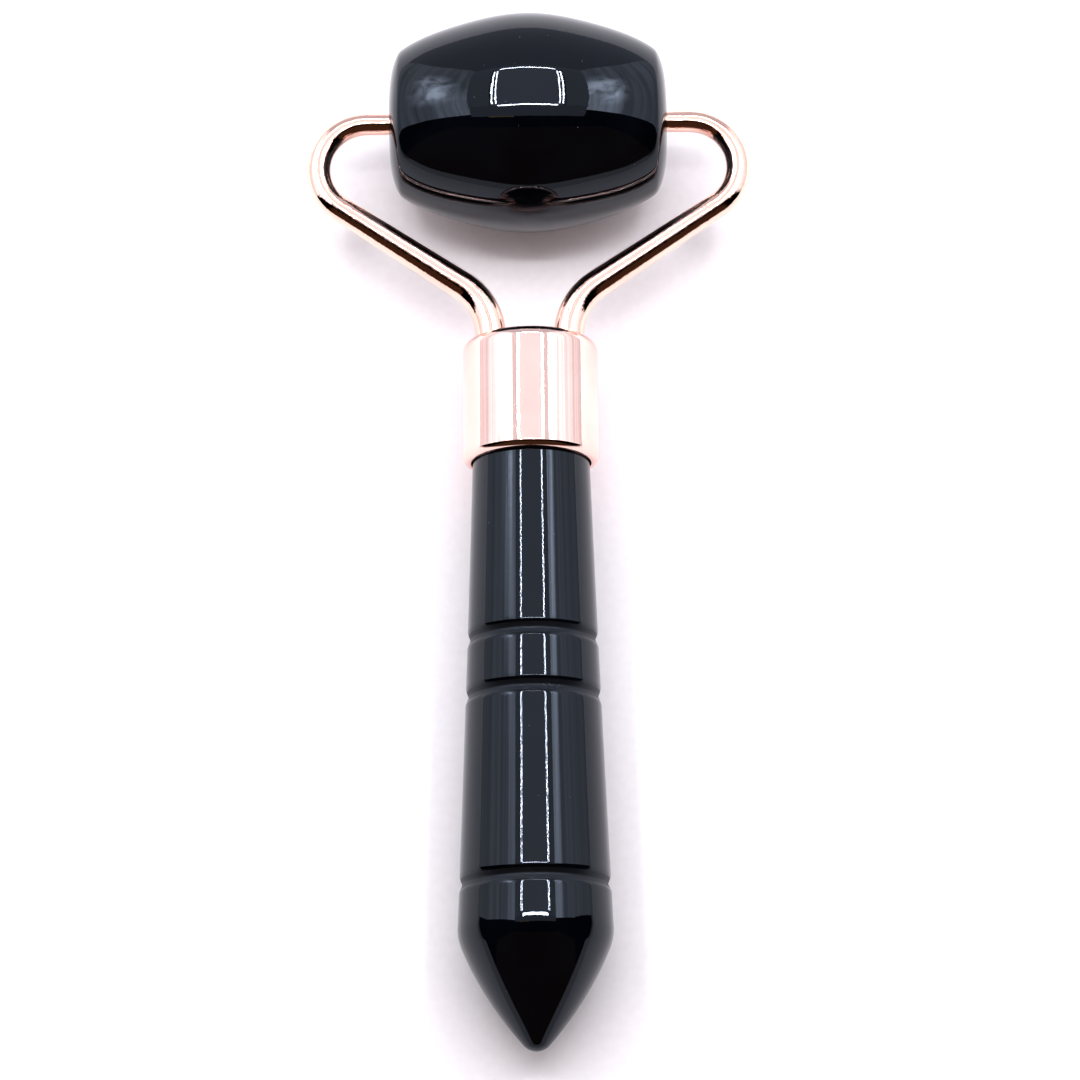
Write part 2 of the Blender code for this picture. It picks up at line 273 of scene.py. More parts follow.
def handle_profile():
    """The handle's (radius, along) points, from the middle of the hidden end to the tip.

    The grip's radius grows from neck to shoulder as t plus the swell times (t squared - t), t being the
    share of the way. Each groove is a V: its depth falls evenly with the distance from its middle. A
    square root rounds the bottom, and a logarithm of one plus an exponential rounds both lips. The
    shoulder, the point's long curve and the tip are arcs that meet in line.
    """
    end = np.array([
        (0.0, HANDLE_END),
        (HANDLE_NECK_RADIUS - HANDLE_END_CHAMFER, HANDLE_END),
        (HANDLE_NECK_RADIUS, HANDLE_END + HANDLE_END_CHAMFER),
    ])
    even = np.linspace(HANDLE_MOUTH, HANDLE_SHOULDER, num=60)
    groove_span = 1.6 * GROOVE_HALF_WIDTH
    fine = [np.linspace(place - groove_span, place + groove_span, num=61) for place in GROOVE_PLACES]
    along = np.unique(np.concatenate([even, *fine]).round(decimals=8))
    share = (along - HANDLE_MOUTH) / (HANDLE_SHOULDER - HANDLE_MOUTH)
    growth = share + GRIP_SWELL * (share**2 - share)
    radius = HANDLE_NECK_RADIUS + (HANDLE_SHOULDER_RADIUS - HANDLE_NECK_RADIUS) * growth
    for place in GROOVE_PLACES:
        distance = np.hypot(along - place, GROOVE_BOTTOM)
        wedge = GROOVE_DEPTH * (1.0 - distance / GROOVE_HALF_WIDTH)
        radius -= GROOVE_LIP * np.logaddexp(0.0, wedge / GROOVE_LIP)
    grip = np.stack([radius, along], 1)
    shoulder_centre = (HANDLE_SHOULDER_RADIUS - HANDLE_SHOULDER_ROUNDING, HANDLE_SHOULDER)
    shoulder = arc(shoulder_centre, HANDLE_SHOULDER_ROUNDING, 0.0, HANDLE_POINT_START, count=16)
    point_centre = (
        shoulder[-1, 0] - HANDLE_POINT_CURVE * np.cos(HANDLE_POINT_START),
        shoulder[-1, 1] - HANDLE_POINT_CURVE * np.sin(HANDLE_POINT_START),
    )
    point = arc(point_centre, HANDLE_POINT_CURVE, HANDLE_POINT_START, HANDLE_POINT_END, count=30)
    tip_rounding = point[-1, 0] / np.cos(HANDLE_POINT_END)
    tip_centre = (0.0, point[-1, 1] - tip_rounding * np.sin(HANDLE_POINT_END))
    tip = arc(tip_centre, tip_rounding, HANDLE_POINT_END, np.pi / 2, count=12)
    tip[-1, 0] = 0.0
    return np.concatenate([end, grip, shoulder[1:], point[1:], tip[1:]])


def mark_ground_grooves(piece):
    """Write the attribute "ground": 1 inside the grooves, where the polishing wheel doesn't reach.

    It is the steepness times how far a point lies inside the groove's edge, as a share of the half
    width, held between 0 and 1.
    """
    points = np.empty(len(piece.data.vertices) * 3)
    piece.data.vertices.foreach_get("co", points)
    along = (roller_axis - points.reshape(-1, 3)) @ towards_roller
    from_groove = np.abs(np.subtract.outer(along, GROOVE_PLACES)).min(1) / GROOVE_HALF_WIDTH
    ground = piece.data.attributes.new("ground", "FLOAT", "POINT")
    ground.data.foreach_set("value", np.clip(GROUND_STEEPNESS * (GROUND_EDGE - from_groove), 0.0, 1.0))


obsidian = polished_obsidian()
handle = add_surface("polished_handle", turned_grid(handle_profile(), HANDLE_TURNS))
handle.data.materials.append(obsidian)
mark_ground_grooves(handle)
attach(handle, "yoke_and_handle")
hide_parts("handle_stone")


# ---- Ferrule ---------------------------------------------------------------------------------
# A deep cup of zinc alloy, turned smooth and plated rose gold. Its flat roof takes both arms, its
# edges are rounded by polishing, and the handle is glued into its mouth.

FERRULE_ROOF_TOP = 32.35 * MM
FERRULE_MOUTH = HANDLE_MOUTH
FERRULE_RADIUS = 9.4 * MM
FERRULE_BORE = 8.25 * MM
FERRULE_ROOF = 1.4 * MM
FERRULE_TOP_ROUNDING = 1.7 * MM
FERRULE_LIP_ROUNDING = 1.08 * MM
FERRULE_LIP_EDGE = 0.07 * MM
FERRULE_CREASE = np.radians(40.0)
FERRULE_TURNS = 160


def rose_gold_plate(name, tones, grain_width, grain_height):
    """Rose gold, a copper and gold alloy electroplated over polished metal.

    The eye sees a warm pink mirror whose reflections have ragged edges, because the plating keeps the
    grain of the metal below it: shallow on a turned face, deeper on a casting. The real grain is finer
    than these widths, and is drawn as coarse as it needs to show.
    """
    material, tree, shader = new_material(name)
    shader.inputs["Metallic"].default_value = 1.0
    place = add_node(tree, "ShaderNodeTexCoord").outputs["Object"]
    tone_width = 6.0 * MM
    tone = add_node(
        tree,
        "ShaderNodeTexNoise",
        {"Scale": 1 / tone_width, "Detail": 2.0},
        {"Vector": place},
    )
    plate = add_node(
        tree,
        "ShaderNodeValToRGB",
        {"stops": [(0.3, linear(tones[0])), (0.7, linear(tones[1]))]},
        {"Fac": tone.outputs["Fac"]},
    )
    tree.links.new(plate.outputs["Color"], shader.inputs["Base Color"])
    haze_width = 4.0 * MM
    haze = add_node(
        tree,
        "ShaderNodeTexNoise",
        {"Scale": 1 / haze_width, "Detail": 4.0},
        {"Vector": place},
    )
    gloss = add_node(
        tree,
        "ShaderNodeMapRange",
        {"From Min": 0.35, "From Max": 0.7, "To Min": 0.03, "To Max": 0.07},
        {"Value": haze.outputs["Fac"]},
    )
    tree.links.new(gloss.outputs["Result"], shader.inputs["Roughness"])
    grain = add_node(
        tree,
        "ShaderNodeTexNoise",
        {"Scale": 1 / grain_width, "Detail": 2.0},
        {"Vector": place},
    )
    grain_bump = add_node(
        tree,
        "ShaderNodeBump",
        {"Strength": 1.0, "Distance": grain_height},
        {"Height": grain.outputs["Fac"]},
    )
    tree.links.new(grain_bump.outputs["Normal"], shader.inputs["Normal"])
    return material


def ferrule_profile():
    """The cup's (radius, along) points: roof, rounded shoulder, wall, rounded lip, bore and roof inside."""
    top_centre = (FERRULE_RADIUS - FERRULE_TOP_ROUNDING, FERRULE_ROOF_TOP + FERRULE_TOP_ROUNDING)
    lip_centre = (FERRULE_RADIUS - FERRULE_LIP_ROUNDING, FERRULE_MOUTH - FERRULE_LIP_ROUNDING)
    edge_centre = (FERRULE_BORE + FERRULE_LIP_EDGE, FERRULE_MOUTH - FERRULE_LIP_EDGE)
    wall = np.linspace(top_centre[1], lip_centre[1], num=12)[1:-1]
    return np.concatenate([
        [(0.0, FERRULE_ROOF_TOP), (top_centre[0] / 2, FERRULE_ROOF_TOP)],
        arc(top_centre, FERRULE_TOP_ROUNDING, -np.pi / 2, 0.0, count=20),
        np.stack([np.full(wall.size, FERRULE_RADIUS), wall], 1),
        arc(lip_centre, FERRULE_LIP_ROUNDING, 0.0, np.pi / 2, count=14),
        arc(edge_centre, FERRULE_LIP_EDGE, np.pi / 2, np.pi, count=6)[1:],
        [(FERRULE_BORE, FERRULE_ROOF_TOP + FERRULE_ROOF), (0.0, FERRULE_ROOF_TOP + FERRULE_ROOF)],
    ])


ferrule = add_surface("plated_ferrule", turned_grid(ferrule_profile(), FERRULE_TURNS))
turned_plate = rose_gold_plate(
    "rose_gold_on_turned_zinc",
    tones=("#fbd5cb", "#fddcd2"),
    grain_width=0.45 * MM,
    grain_height=0.003 * MM,
)
ferrule.data.materials.append(turned_plate)
ferrule.data.set_sharp_from_angle(angle=FERRULE_CREASE)
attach(ferrule, "yoke_and_handle")
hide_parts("ferrule")


# ---- Adhesive plug ---------------------------------------------------------------------------
# Epoxy that fills the cup above the handle and pots the ends of both arms. It is hidden once the
# tool is assembled, so its plain solid stays as it is and only gets its finish.


def cured_epoxy():
    """Two-part epoxy, poured and cured: amber and slightly cloudy, with a soft gloss."""
    material, tree, shader = new_material("cured_epoxy")
    shader.inputs["IOR"].default_value = 1.55
    shader.inputs["Roughness"].default_value = 0.3
    place = add_node(tree, "ShaderNodeTexCoord").outputs["Object"]
    cloud_width = 2.5 * MM
    cloud = add_node(
        tree,
        "ShaderNodeTexNoise",
        {"Scale": 1 / cloud_width, "Detail": 3.0},
        {"Vector": place},
    )
    resin = add_node(
        tree,
        "ShaderNodeValToRGB",
        {"stops": [(0.3, linear("#c8b98a")), (0.7, linear("#d9cda4"))]},
        {"Fac": cloud.outputs["Fac"]},
    )
    tree.links.new(resin.outputs["Color"], shader.inputs["Base Color"])
    return material


plug = frame["nodes"]["adhesive_plug"]
plug.data.materials.clear()
plug.data.materials.append(cured_epoxy())


# ---- Arms ------------------------------------------------------------------------------------
# Two mirror-image arms, cast in zinc alloy and plated like the ferrule. Each is a plain pin inside
# the roller and gets thicker along its bends, down to the leg that is potted in the ferrule.

ARM_REACH = 29.4 * MM
ARM_UPPER_BEND = 6.8 * MM
ARM_DIAGONAL = np.radians(34.0)
ARM_LOWER_BEND = 9.0 * MM
ARM_LEG_OFFSET = 5.4 * MM
ARM_LEG_END = 37.4 * MM
ARM_PIN_START = 11.5 * MM
ARM_TAPER_START = 19.6 * MM
ARM_PIN_RADIUS = 1.5 * MM
ARM_LEG_RADIUS = 2.2 * MM
ARM_END_ROUNDING = 0.3 * MM
ARM_END_STEPS = 6
ARM_SIDES = 56
SIDES = {"left": -1.0, "right": 1.0}


def arm_line():
    """The arm's centre line as (sideways, along): straight pin, upper bend, diagonal, lower bend, leg."""
    upper_centre = (ARM_REACH - ARM_UPPER_BEND, ARM_UPPER_BEND)
    upper = arc(upper_centre, ARM_UPPER_BEND, -np.pi / 2, np.pi / 2 - ARM_DIAGONAL, count=70)
    lower_centre = ARM_LEG_OFFSET + ARM_LOWER_BEND
    diagonal_end = lower_centre - ARM_LOWER_BEND * np.sin(ARM_DIAGONAL)
    drop = (upper[-1, 0] - diagonal_end) * np.tan(ARM_DIAGONAL)
    leg_start = upper[-1, 1] + drop + ARM_LOWER_BEND * np.cos(ARM_DIAGONAL)
    lower_start = np.pi + np.pi / 2 - ARM_DIAGONAL
    lower = arc((lower_centre, leg_start), ARM_LOWER_BEND, lower_start, np.pi, count=34)
    diagonal = np.linspace(upper[-1], lower[0], num=26)[1:-1]
    pin = np.linspace((ARM_PIN_START, 0.0), upper[0], num=16)[:-1]
    leg = np.linspace(lower[-1], (ARM_LEG_OFFSET, ARM_LEG_END), num=10)[1:]
    return np.concatenate([pin, upper, diagonal, lower, leg])


def arm_grid(side):
    """A round section carried along the centre line.

    Its radius is constant on the pin, then grows evenly with the distance along the line. At both ends
    it shrinks over a quarter circle to a point, which closes the end.
    """
    line = arm_line()
    step = np.linalg.norm(np.diff(line, axis=0), axis=1)
    distance = np.concatenate([[0.0], np.cumsum(step)])
    taper_start = ARM_TAPER_START - ARM_PIN_START
    taper = np.clip((distance - taper_start) / (distance[-1] - taper_start), 0.0, 1.0)
    radius = ARM_PIN_RADIUS + (ARM_LEG_RADIUS - ARM_PIN_RADIUS) * taper
    heading = np.gradient(line, axis=0)
    heading /= np.linalg.norm(heading, axis=1)[:, None]
    turn = np.linspace(0.0, np.pi / 2, ARM_END_STEPS)
    start_radius = np.append(0.0, radius[0] - ARM_END_ROUNDING * (1.0 - np.sin(turn)))
    start_line = line[0] - np.outer(np.append(1.0, np.cos(turn)), heading[0]) * ARM_END_ROUNDING
    end_radius = np.append(radius[-1] - ARM_END_ROUNDING * (1.0 - np.cos(turn)), 0.0)
    end_line = line[-1] + np.outer(np.append(np.sin(turn), 1.0), heading[-1]) * ARM_END_ROUNDING
    line = np.concatenate([start_line, line[1:-1], end_line])
    radius = np.concatenate([start_radius, radius[1:-1], end_radius])[:, None]
    start_heading = np.repeat(heading[:1], len(start_line), 0)
    end_heading = np.repeat(heading[-1:], len(end_line), 0)
    heading = np.concatenate([start_heading, heading[1:-1], end_heading])
    angle = np.linspace(0.0, 2.0 * np.pi, ARM_SIDES, endpoint=False)
    sideways = line[:, :1] - heading[:, 1:] * radius * np.cos(angle)
    along = line[:, 1:] + heading[:, :1] * radius * np.cos(angle)
    return lay_along_tool(side * sideways, along, radius * np.sin(angle))


cast_plate = rose_gold_plate(
    "rose_gold_on_cast_zinc",
    tones=("#fbd3c4", "#fddccd"),
    grain_width=0.38 * MM,
    grain_height=0.022 * MM,
)
for side_name, side in SIDES.items():
    arm = add_surface("plated_arm_" + side_name, arm_grid(side))
    arm.data.materials.append(cast_plate)
    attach(arm, "yoke_and_handle")
    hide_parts("arm_" + side_name)


# ---- Bushes ----------------------------------------------------------------------------------
# A moulded nylon sleeve pressed into each end of the roller's bore, a little below the end face. The
# arm's pin turns in it without touching the stone.

BUSH_BORE = 1.6 * MM
BUSH_SLEEVE = 2.15 * MM
BUSH_OUTER_END = 19.044 * MM
BUSH_LENGTH = 9.0 * MM
BUSH_EDGE = 0.12 * MM
BUSH_CREASE = np.radians(50.0)
BUSH_TURNS = 96


def moulded_nylon():
    """Natural nylon, injection moulded: a milky off-white, slightly cloudy, with a satin skin."""
    material, tree, shader = new_material("moulded_nylon")
    shader.inputs["IOR"].default_value = 1.53
    place = add_node(tree, "ShaderNodeTexCoord").outputs["Object"]
    cloud_width = 0.8 * MM
    cloud = add_node(
        tree,
        "ShaderNodeTexNoise",
        {"Scale": 1 / cloud_width, "Detail": 2.0},
        {"Vector": place},
    )
    skin = add_node(
        tree,
        "ShaderNodeValToRGB",
        {"stops": [(0.3, linear("#b9aca8")), (0.7, linear("#c9bdb8"))]},
        {"Fac": cloud.outputs["Fac"]},
    )
    tree.links.new(skin.outputs["Color"], shader.inputs["Base Color"])
    shader.inputs["Roughness"].default_value = 0.4
    return material


def turned_across(profile, turns):
    """A profile of (radius, sideways) points turned about the roller's axis, which runs along X."""
    angle = np.linspace(0.0, 2.0 * np.pi, turns, endpoint=False)
    radius = profile[:, :1]
    sideways = np.repeat(profile[:, 1:], turns, 1)
    return roller_axis + np.stack([sideways, radius * np.cos(angle), radius * np.sin(angle)], -1)


def bush_profile(side):
    """A closed section of (radius, sideways) points with both edges of the outer end rounded."""
    outside = BUSH_OUTER_END - BUSH_EDGE
    inner_end = BUSH_OUTER_END - BUSH_LENGTH
    section = np.concatenate([
        arc((BUSH_BORE + BUSH_EDGE, outside), BUSH_EDGE, np.pi, np.pi / 2, count=5),
        arc((BUSH_SLEEVE - BUSH_EDGE, outside), BUSH_EDGE, np.pi / 2, 0.0, count=5),
        [(BUSH_SLEEVE, inner_end), (BUSH_BORE, inner_end)],
    ])
    return section * (1.0, side)


nylon = moulded_nylon()
for side_name, side in SIDES.items():
    bush = add_surface("nylon_bush_" + side_name, turned_across(bush_profile(side), BUSH_TURNS), loop=True)
    bush.data.materials.append(nylon)
    bush.data.set_sharp_from_angle(angle=BUSH_CREASE)
    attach(bush, "roller")
    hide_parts("bush_" + side_name)


# ---- Roller stone ----------------------------------------------------------------------------
# A barrel of the same obsidian, ground round with nearly straight flanks, tight corners and slightly
# domed ends, drilled through for the bushes, and polished all over.

ROLLER_RADIUS = 15.4 * MM
ROLLER_SLOPES = np.radians((0.0, 8.0, 16.0, 22.0, 28.0, 36.0, 50.0, 90.0))
ROLLER_CURVES = np.array((26.0, 25.0, 62.0, 26.0, 21.0, 4.0, 0.8, 16.0)) * MM
ROLLER_BORE = 2.3 * MM
ROLLER_BORE_EDGE = 0.3 * MM
ROLLER_STEPS = 360
ROLLER_STEPS_PER_ROW = 3
ROLLER_TURNS = 240


def roller_profile():
    """The barrel's closed section of (radius, sideways) points.

    The slope grows evenly from 0 at the crown to a right angle at the end face. Each small step goes
    along the surface by the radius of curvature at its slope times its angle, so the radii between the
    given slopes decide how the barrel bends. The bore has a rounded edge at both ends.
    """
    slope = np.linspace(0.0, np.pi / 2, ROLLER_STEPS + 1)
    middle = (slope[1:] + slope[:-1]) / 2
    length = np.interp(middle, ROLLER_SLOPES, ROLLER_CURVES) * np.diff(slope)
    radius = ROLLER_RADIUS - np.append(0.0, np.cumsum(length * np.sin(middle)))
    sideways = np.append(0.0, np.cumsum(length * np.cos(middle)))
    side = np.stack([radius, sideways], 1)[::ROLLER_STEPS_PER_ROW]
    edge_centre = (ROLLER_BORE + ROLLER_BORE_EDGE, side[-1, 1] - ROLLER_BORE_EDGE)
    edge = arc(edge_centre, ROLLER_BORE_EDGE, np.pi, np.pi / 2, count=6)
    half = np.concatenate([edge, side[::-1]])
    return np.concatenate([half, half[-2::-1] * (1.0, -1.0)])


roller = add_surface("polished_roller", turned_across(roller_profile(), ROLLER_TURNS), loop=True)
roller.data.materials.append(obsidian)
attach(roller, "roller")
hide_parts("roller_stone")


# ---- Floor -----------------------------------------------------------------------------------
# A wide sheet of matt white paper, laid flat under the tool. It ends far outside the picture, so no
# edge of it shows.

FLOOR_HALF = 3.0


def white_paper():
    """Matt white paper, rolled smooth: no gloss, a slightly cool white, and a faint uneven tooth.

    The real tooth is finer, and is drawn as coarse as it needs to show.
    """
    material, tree, shader = new_material("white_paper")
    shader.inputs["Roughness"].default_value = 0.9
    shader.inputs["Specular IOR Level"].default_value = 0.2
    place = add_node(tree, "ShaderNodeTexCoord").outputs["Object"]
    tooth_width = 1.2 * MM
    tooth = add_node(
        tree,
        "ShaderNodeTexNoise",
        {"Scale": 1 / tooth_width, "Detail": 2.0},
        {"Vector": place},
    )
    paper = add_node(
        tree,
        "ShaderNodeValToRGB",
        {"stops": [(0.3, linear("#f5f4f8")), (0.7, linear("#f8f7fb"))]},
        {"Fac": tooth.outputs["Fac"]},
    )
    tree.links.new(paper.outputs["Color"], shader.inputs["Base Color"])
    return material


def add_sheet(name, grid, material):
    """A sheet of the stage from a grid of points, with a face between each four neighbours."""
    rows, columns = grid.shape[:2]
    index = np.arange(rows * columns).reshape(rows, columns)
    quads = np.stack([index[:-1, :-1], index[:-1, 1:], index[1:, 1:], index[1:, :-1]], -1)
    mesh = bpy.data.meshes.new(name)
    mesh.from_pydata(grid.reshape(-1, 3), [], quads.reshape(-1, 4).tolist())
    mesh.materials.append(material)
    sheet = bpy.data.objects.new(name, mesh)
    bpy.context.scene.collection.objects.link(sheet)
    return sheet


def rectangle(x, y, z):
    """A two by two grid: its columns have the two x values, and its rows the two y and z values."""
    return np.array([
        [(x[0], y[0], z[0]), (x[1], y[0], z[0])],
        [(x[0], y[1], z[1]), (x[1], y[1], z[1])],
    ])


floor_span = (-FLOOR_HALF, FLOOR_HALF)
add_sheet("floor", rectangle(floor_span, floor_span, (0.0, 0.0)), white_paper())


# ---- Light tent ------------------------------------------------------------------------------
# A folding light tent round the tool: a cloth roof, creased silver walls, a back cloth, and an open
# front on a dark room. Only reflections see these sheets, because area lamps light the floor.

TENT_HEIGHT = 500.0 * MM
TENT_FRONT = -78.0 * MM
TENT_BACK = 450.0 * MM
TENT_SIDE = 280.0 * MM
TENT_WHITE = "#f1f6ff"
TENT_SHADE = "#eef3ff"
ROOF_LAYER = 1.0 * MM
STRIP_SIDE = 178.0 * MM
STRIP_FRONT = 25.0 * MM
STRIP_BACK = 411.0 * MM
# Where the band of painted shade beside each side strip lies: its offset out from the strip, and its width.
SHADE_BAND_OFFSET = 16.0 * MM
SHADE_BAND_WIDTH = 3.0 * MM
TAPE_X = (-212.0 * MM, -77.0 * MM)
TAPE_Y = (-85.0 * MM, -77.0 * MM)
ROOM_X = (-3.0, 3.0)
ROOM_Y = -2.0
ROOM_Z = (-0.5, 4.0)


def glowing(name, colour, strength):
    """A lit surface of the tent, drawn as plain glow because only reflections ever show it."""
    material, tree, _ = new_material(name)
    tree.nodes.clear()
    glow = add_node(tree, "ShaderNodeEmission", {"Color": linear(colour), "Strength": strength})
    add_node(tree, "ShaderNodeOutputMaterial", None, {"Surface": glow.outputs["Emission"]})
    return material


def add_tent_part(name, grid, material):
    """A sheet that only reflections see: the camera, diffuse light and shadows pass it by."""
    part = add_sheet(name, grid, material)
    part.visible_camera = False
    part.visible_diffuse = False
    part.visible_shadow = False
    part.visible_transmission = False


def creased_silver(name, top_glow, patch_middle):
    """Creased silver lining of a side wall.

    It glows evenly from just above its foot, and by top_glow more along its top, near the front. Long
    folds vary that a little. Round patch_middle, sharper creases throw the strips' light back in one
    soft and uneven patch.
    """
    material = glowing(name, TENT_WHITE, strength=1.0)
    tree = material.node_tree
    place = add_node(tree, "ShaderNodeTexCoord").outputs["Object"]
    parts = add_node(tree, "ShaderNodeSeparateXYZ", None, {"Vector": place}).outputs
    foot = add_node(
        tree,
        "ShaderNodeMapRange",
        {"From Min": 85.0 * MM, "From Max": 110.0 * MM, "To Min": 1.12, "To Max": 1.5},
        {"Value": parts["Z"]},
    )
    upper = add_node(
        tree,
        "ShaderNodeMapRange",
        {"From Min": 325.0 * MM, "From Max": 355.0 * MM, "To Min": 0.0, "To Max": top_glow},
        {"Value": parts["Z"]},
    )
    nearness = add_node(
        tree,
        "ShaderNodeMapRange",
        {"From Min": 130.0 * MM, "From Max": 240.0 * MM, "To Min": 1.0, "To Max": 0.0},
        {"Value": parts["Y"]},
    )
    wall = add_node(
        tree,
        "ShaderNodeMath",
        {"operation": "MULTIPLY_ADD"},
        {0: upper.outputs["Result"], 1: nearness.outputs["Result"], 2: foot.outputs["Result"]},
    )
    fold_width = 26.0 * MM
    fold_place = add_node(tree, "ShaderNodeMapping", {"Scale": (1.0, 0.05, 1.0)}, {"Vector": place})
    fold = add_node(
        tree,
        "ShaderNodeTexNoise",
        {"Scale": 1 / fold_width, "Detail": 3.0, "Roughness": 0.6},
        {"Vector": fold_place.outputs["Vector"]},
    )
    fold_shine = add_node(
        tree,
        "ShaderNodeMapRange",
        {"From Min": 0.3, "From Max": 0.7, "To Min": 0.72, "To Max": 1.28},
        {"Value": fold.outputs["Fac"]},
    )
    folded = add_node(
        tree,
        "ShaderNodeMath",
        {"operation": "MULTIPLY"},
        {0: wall.outputs["Value"], 1: fold_shine.outputs["Result"]},
    )
    crease_width = 105.0 * MM
    crease = add_node(
        tree,
        "ShaderNodeTexNoise",
        {"Scale": 1 / crease_width, "Detail": 2.0, "Roughness": 0.45, "Distortion": 0.8},
        {"Vector": place},
    )
    crease_shine = add_node(
        tree,
        "ShaderNodeMapRange",
        {"From Min": 0.36, "From Max": 0.64, "To Min": 0.3, "To Max": 6.0},
        {"Value": crease.outputs["Fac"]},
    )
    from_middle = add_node(
        tree,
        "ShaderNodeVectorMath",
        {"operation": "DISTANCE", 1: patch_middle},
        {0: place},
    )
    patch_core = 40.0 * MM
    patch_reach = 170.0 * MM
    patch = add_node(
        tree,
        "ShaderNodeMapRange",
        {
            "interpolation_type": "SMOOTHSTEP",
            "From Min": patch_core,
            "From Max": patch_reach,
            "To Min": 1.0,
            "To Max": 0.0,
        },
        {"Value": from_middle.outputs["Value"]},
    )
    strength = add_node(
        tree,
        "ShaderNodeMath",
        {"operation": "MULTIPLY_ADD"},
        {0: crease_shine.outputs["Result"], 1: patch.outputs["Result"], 2: folded.outputs["Value"]},
    )
    tree.links.new(strength.outputs["Value"], tree.nodes["Emission"].inputs["Strength"])
    return material


# The roof cloth inside the frame of strips, and its margins in front of, behind and beside them.
roof_z = (TENT_HEIGHT, TENT_HEIGHT)
tent_x = (-TENT_SIDE, TENT_SIDE)
frame_x = (-STRIP_SIDE, STRIP_SIDE)
frame_y = (STRIP_FRONT, STRIP_BACK)
roof_cloth = glowing("roof_cloth", TENT_WHITE, strength=1.3)
front_cloth = glowing("front_cloth", TENT_SHADE, strength=0.8)
rear_cloth = glowing("rear_cloth", TENT_SHADE, strength=1.1)
margin_cloth = glowing("margin_cloth", TENT_WHITE, strength=1.0)
add_tent_part("tent_roof_middle", rectangle(frame_x, frame_y, roof_z), roof_cloth)
add_tent_part("tent_roof_front", rectangle(tent_x, (TENT_FRONT, STRIP_FRONT), roof_z), front_cloth)
add_tent_part("tent_roof_back", rectangle(tent_x, (STRIP_BACK, TENT_BACK), roof_z), rear_cloth)
for side_name, side in SIDES.items():
    margin_x = (side * STRIP_SIDE, side * TENT_SIDE)
    add_tent_part("tent_roof_" + side_name, rectangle(margin_x, frame_y, roof_z), margin_cloth)

# A band of painted shade beside each side strip: a dim dark sheet where the roof cloth outside the frame lies in
# shadow. And a length of tan tape along the roof's front edge.
shade_band_z = TENT_HEIGHT - ROOF_LAYER
# Painted shade: this dim brown glow stands in for the shadowed roof cloth just outside each side strip.
painted_shade_band = glowing("painted_shade_band", "#4a3a36", strength=0.3)
for side_name, side in SIDES.items():
    shade_band_start = STRIP_SIDE + SHADE_BAND_OFFSET
    shade_band_x = (side * shade_band_start, side * (shade_band_start + SHADE_BAND_WIDTH))
    shade_band = rectangle(shade_band_x, frame_y, (shade_band_z, shade_band_z))
    add_tent_part("strip_channel_" + side_name, shade_band, painted_shade_band)
tape_z = TENT_HEIGHT - 3 * ROOF_LAYER
tan_tape = glowing("tan_tape", "#b5935a", strength=4.0)
add_tent_part("tent_tape", rectangle(TAPE_X, TAPE_Y, (tape_z, tape_z)), tan_tape)

# The silver walls, the back cloth and the room in front. The walls' front edges slant: each is
# further forward at the top than at the foot, by its lean.
PATCH_Y = 205.0 * MM
for side_name, lean, top_glow, patch_z in (
    ("left", 50.0 * MM, 1.2, 310.0 * MM),
    ("right", 10.0 * MM, 2.3, 420.0 * MM),
):
    wall_x = SIDES[side_name] * TENT_SIDE
    wall = np.array([
        [(wall_x, 0.0, 0.0), (wall_x, TENT_BACK, 0.0)],
        [(wall_x, -lean, TENT_HEIGHT), (wall_x, TENT_BACK, TENT_HEIGHT)],
    ])
    silver = creased_silver("creased_silver_" + side_name, top_glow, (wall_x, PATCH_Y, patch_z))
    add_tent_part("tent_wall_" + side_name, wall, silver)
back_cloth = glowing("back_cloth", TENT_SHADE, strength=0.8)
add_tent_part("tent_back", rectangle(tent_x, (TENT_BACK, TENT_BACK), (0.0, TENT_HEIGHT)), back_cloth)
dim_room = glowing("dark_room", "#b98a68", strength=0.16)
add_tent_part("dark_room", rectangle(ROOM_X, (ROOM_Y, ROOM_Y), ROOM_Z), dim_room)


# ---- Light strips ----------------------------------------------------------------------------
# Four strips of white light-emitting diodes under the roof, in a rectangular frame. The side strips
# have two rows of diodes, and the front and back ones have a single row.

ROW_WIDTH = 6.0 * MM
ROW_OFFSET = 8.0 * MM
END_ROW_WIDTH = 10.0 * MM
STRIP_Z = TENT_HEIGHT - 2 * ROOF_LAYER
STRIP_RADIANCE = 26.0
STRIP_BORDER = 6.0 * MM
SIDE_STRIP_Y = (STRIP_FRONT + 17.0 * MM, STRIP_BACK - 26.0 * MM)
END_STRIP_X = (-STRIP_SIDE + 14.0 * MM, STRIP_SIDE - 14.0 * MM)
FACING_DOWN = (0.0, 0.0, 0.0)


def add_lamp(name, size, place, turn, radiance, colour):
    """An area light that gives the stated radiance: its power is radiance times pi times its area."""
    light = bpy.data.lights.new(name, "AREA")
    light.shape = "RECTANGLE"
    light.size = size[0]
    light.size_y = size[1]
    light.energy = radiance * np.pi * size[0] * size[1]
    light.color = linear(colour)[:3]
    lamp = bpy.data.objects.new(name, light)
    lamp.location = place
    lamp.rotation_euler = turn
    lamp.visible_glossy = False
    lamp.visible_camera = False
    bpy.context.scene.collection.objects.link(lamp)


